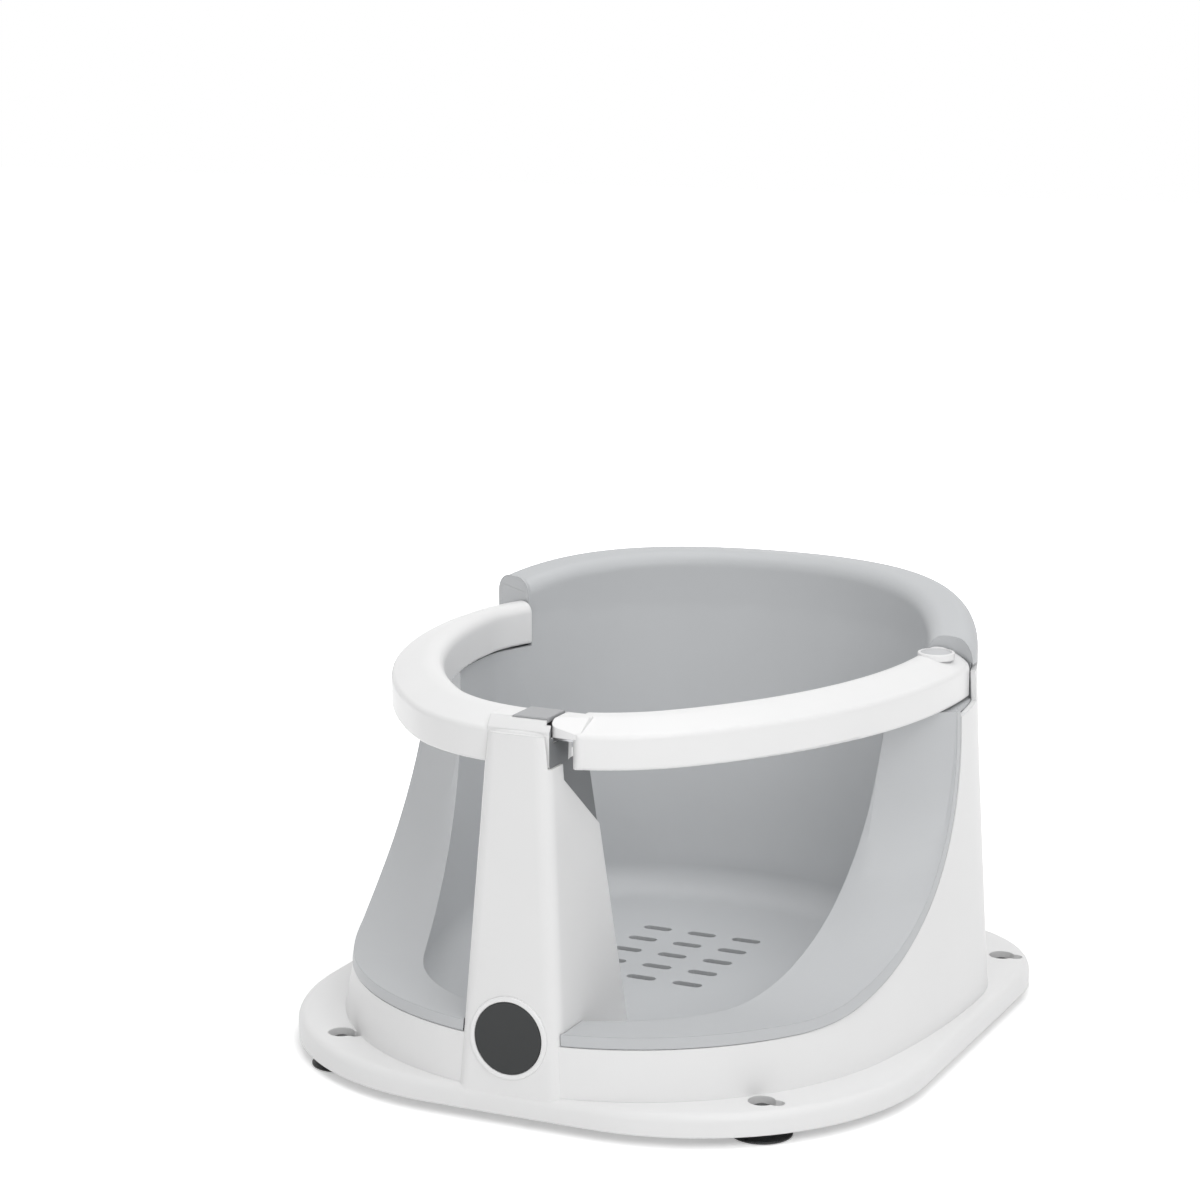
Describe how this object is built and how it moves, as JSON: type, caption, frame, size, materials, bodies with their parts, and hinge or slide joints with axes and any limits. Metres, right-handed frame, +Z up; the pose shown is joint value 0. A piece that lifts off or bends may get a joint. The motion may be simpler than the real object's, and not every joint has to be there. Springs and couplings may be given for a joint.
{
  "type": "baby bath seat",
  "caption": "Low moulded bath seat on suction cups, with a backrest, a post between the legs and a chest ring whose right half is a latched gate on a hinge.",
  "frame": {"origin": "centre of the bounding box in plan, on the plane of the suction cup rims", "axes": "+Z up, -Y is the front with the post, +X is the hinge side of the gate"},
  "size_m": [0.3382, 0.362, 0.2177],
  "materials": {
    "white_shell": "satin moulded polypropylene",
    "grey_liner": "soft satin moulded plastic",
    "white_arm": "smooth satin white moulding",
    "grey_button": "fine satin grey moulding",
    "grey_cap": "satin grey moulding",
    "white_trim": "smooth moulded ring",
    "dark_disc": "plain dark disc",
    "cup_rubber": "smoky grey soft vinyl",
    "bearing_nylon": "natural nylon",
    "steel": "stainless steel"
  },
  "bodies": {
    "seat": {"base_shell": "white_shell", "seat_liner": "grey_liner", "front_disc": "dark_disc", "front_disc_bezel": "white_trim", "post_back_cover": "white_shell", "left_arm_upper": "white_arm", "left_arm_lower": "white_arm", "hinge_pin": "steel", "hinge_washer": "bearing_nylon", "pin_clip": "steel", "latch_spring": "steel", "latch_guide": "bearing_nylon", "left_arm_bolt": "steel", "left_arm_screws": "steel", "post_screws": "steel", "liner_screws": "steel", "suction_cup_front_left": "cup_rubber", "suction_cup_front_right": "cup_rubber", "suction_cup_rear_left": "cup_rubber", "suction_cup_rear_right": "cup_rubber"},
    "gate": {"gate_arm_upper": "white_arm", "gate_arm_lower": "white_arm", "gate_catch": "steel", "hinge_cap": "grey_cap", "hinge_bush": "bearing_nylon", "gate_screws": "steel"},
    "latch": {"latch_button": "grey_button"}
  },
  "joints": [
    {"name": "gate_hinge", "type": "hinge", "parent": "seat", "child": "gate", "pos_m": [0.132, 0.0478, 0.184], "axis": [0, 0, 1], "range_deg": [0, 60]},
    {"name": "latch_press", "type": "slide", "parent": "seat", "child": "latch", "axis": [0, 0, -1], "range_m": [0, 0.004], "stiffness_N_per_m": 500, "springref_m": -0.002, "deforming": ["latch_spring"]}
  ]
}
